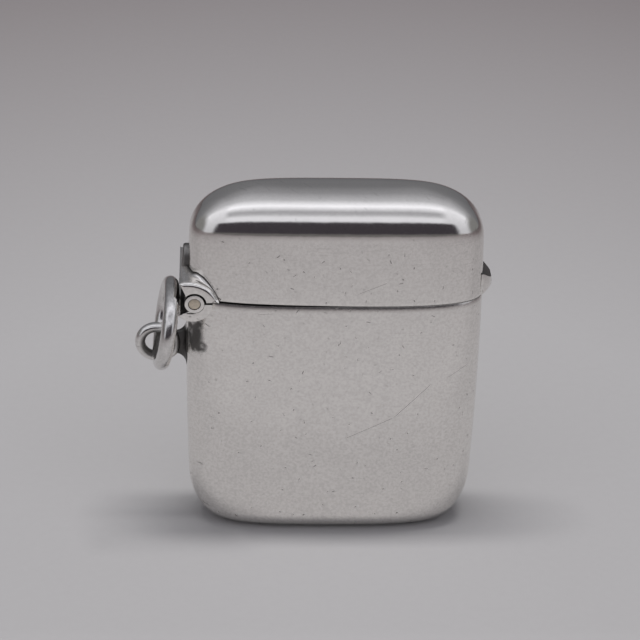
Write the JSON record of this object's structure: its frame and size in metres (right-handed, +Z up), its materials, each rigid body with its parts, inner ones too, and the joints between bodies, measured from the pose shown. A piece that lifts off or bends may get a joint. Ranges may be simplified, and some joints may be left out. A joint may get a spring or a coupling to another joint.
{
  "type": "vesta case",
  "caption": "Plain silver pocket match case, pillow shaped, with a sprung hinged lid, a ribbed striker in the base, a thumb piece and a carrying ring on a side loop.",
  "frame": {"origin": "centre of the flat base, on the plane the case stands on", "axes": "+Z up, -Y out of the front face, -X towards the hinge and the ring"},
  "size_m": [0.0458, 0.0142, 0.049],
  "materials": {
    "silver": "worn polished silver with fine scratches",
    "inner_silver": "plain unpolished silver",
    "striker_steel": "hardened steel with filed ridges, darkened",
    "spring_steel": "blued spring steel",
    "nickel_silver": "drawn nickel silver wire, filed flush"
  },
  "bodies": {
    "case": {"body_shell": "silver", "collar": "inner_silver", "striker_plate": "striker_steel", "body_bearer": "silver", "front_knuckle": "silver", "rear_knuckle": "silver", "hinge_pin": "nickel_silver", "hinge_spring": "spring_steel", "spring_rivets": "inner_silver", "ring_loop": "silver"},
    "lid": {"lid_shell": "silver", "lid_bearer": "silver", "lid_strap": "silver", "middle_knuckle": "silver", "thumb_piece": "silver"},
    "ring": {"jump_ring": "silver"}
  },
  "joints": [
    {"name": "lid_hinge", "type": "hinge", "parent": "case", "child": "lid", "pos_m": [-0.01795, 0, 0.0343], "axis": [0, -1, 0], "range_deg": [0, 90], "deforming": ["hinge_spring"]},
    {"name": "ring_swing", "type": "hinge", "parent": "case", "child": "ring", "pos_m": [-0.0224, 0, 0.026], "axis": [0, -1, 0], "range_deg": [0, 180]}
  ],
  "couplings": [
    {"joint": "ring_swing", "follows": "lid_hinge", "ratio": 2}
  ]
}
